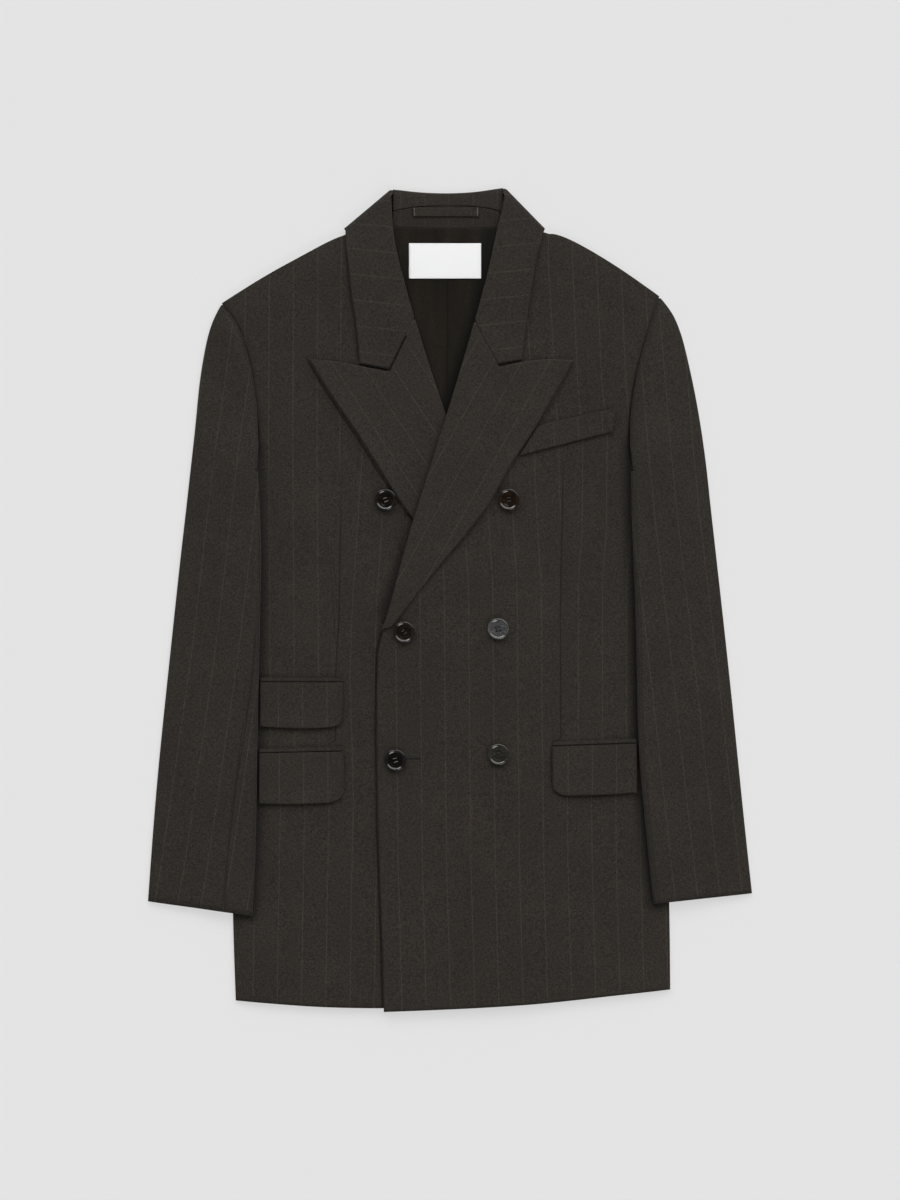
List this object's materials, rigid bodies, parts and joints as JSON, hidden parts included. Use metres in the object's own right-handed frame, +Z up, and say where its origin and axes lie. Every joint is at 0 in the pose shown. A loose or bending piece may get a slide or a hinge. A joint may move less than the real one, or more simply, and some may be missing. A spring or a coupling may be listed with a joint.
{
  "type": "double breasted blazer",
  "caption": "Long-sleeved double breasted blazer laid flat, with peak lapels, flap pockets and an open neck.",
  "frame": {"origin": "centre of the bounding box on the surface that the blazer lies on", "axes": "+X to the wearer's left, +Y from hem to collar, +Z up from the surface"},
  "size_m": [0.6036, 0.8228, 0.0137],
  "materials": {
    "suiting": "matt wool with a faint pinstripe",
    "lining": "smooth twill lining",
    "label": "white woven label, bare",
    "button": "polished"
  },
  "bodies": {
    "root": {"back_left": "suiting", "back_right": "suiting", "front_left": "suiting", "front_right": "suiting", "lapel_left": "suiting", "lapel_right": "suiting", "collar_leaf": "suiting", "collar_stand": "suiting", "neck_facing": "suiting", "back_lining": "lining", "label_blank": "label", "hanger_loop": "suiting", "sleeve_left_top": "suiting", "sleeve_left_under": "suiting", "sleeve_right_top": "suiting", "sleeve_right_under": "suiting", "chest_welt": "suiting", "pocket_welt_left": "suiting", "pocket_flap_left": "suiting", "pocket_welt_right": "suiting", "pocket_flap_right": "suiting", "ticket_welt": "suiting", "ticket_flap": "suiting", "button_1": "button", "button_2": "button", "button_3": "button", "button_4": "button", "button_5": "button", "button_6": "button"}
  },
  "joints": []
}
